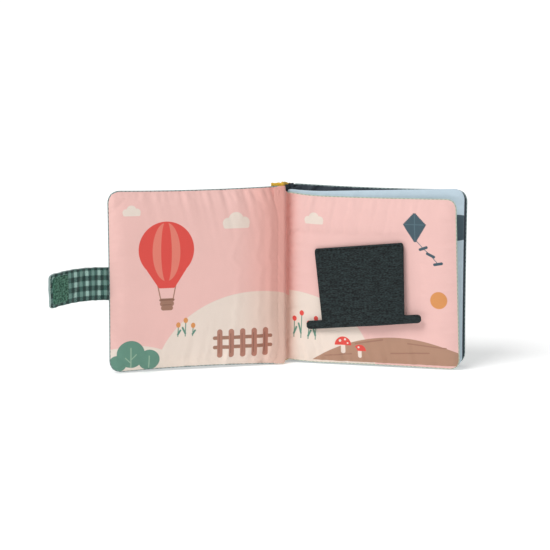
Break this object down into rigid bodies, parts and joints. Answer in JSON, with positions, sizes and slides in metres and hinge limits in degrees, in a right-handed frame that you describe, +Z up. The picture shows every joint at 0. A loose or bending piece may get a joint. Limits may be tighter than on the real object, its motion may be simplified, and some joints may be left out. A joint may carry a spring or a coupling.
{
  "type": "cloth picture book",
  "caption": "Padded cloth picture book standing open, with hinged covers, folded leaves, a felt flap and a curled closing strap.",
  "frame": {"origin": "foot of the spine, in the middle of the spine cloth's lower edge", "axes": "+Z up the spine, +X to the reader's right, +Y away from the reader of the open spread"},
  "size_m": [0.3813, 0.1307, 0.171],
  "materials": {
    "check_cloth": "woven check cotton",
    "pink_page": "printed brushed polyester",
    "wadding": "loose fibre filling",
    "hook": "hook and loop tape",
    "mustard_binding": "plain woven cotton",
    "page_sheet": "printed brushed polyester",
    "felt": "pressed wool felt",
    "thread": "sewing thread",
    "navy_page": "printed brushed polyester"
  },
  "bodies": {
    "pages_and_spine": {"spine_binding": "mustard_binding", "pages": "page_sheet", "felt_flap": "felt", "flap_stitching": "thread"},
    "front_cover": {"front_cover_cloth": "check_cloth", "front_cover_page": "pink_page", "front_cover_wadding": "wadding", "closing_strap": "check_cloth", "hook_patch": "hook", "front_binding_lap": "mustard_binding"},
    "back_cover": {"back_cover_page": "navy_page", "back_cover_wadding": "wadding", "back_cover_cloth": "check_cloth", "back_binding_lap": "mustard_binding", "loop_patch": "hook"}
  },
  "joints": [
    {"name": "front_cover_hinge", "type": "hinge", "parent": "pages_and_spine", "child": "front_cover", "pos_m": [0.0014, -0.01298, 0], "axis": [0, 0, 1], "range_deg": [-40, 142]},
    {"name": "back_cover_hinge", "type": "hinge", "parent": "pages_and_spine", "child": "back_cover", "pos_m": [0.00733, 0.0108, 0], "axis": [0, 0, 1], "range_deg": [0, 115]}
  ]
}
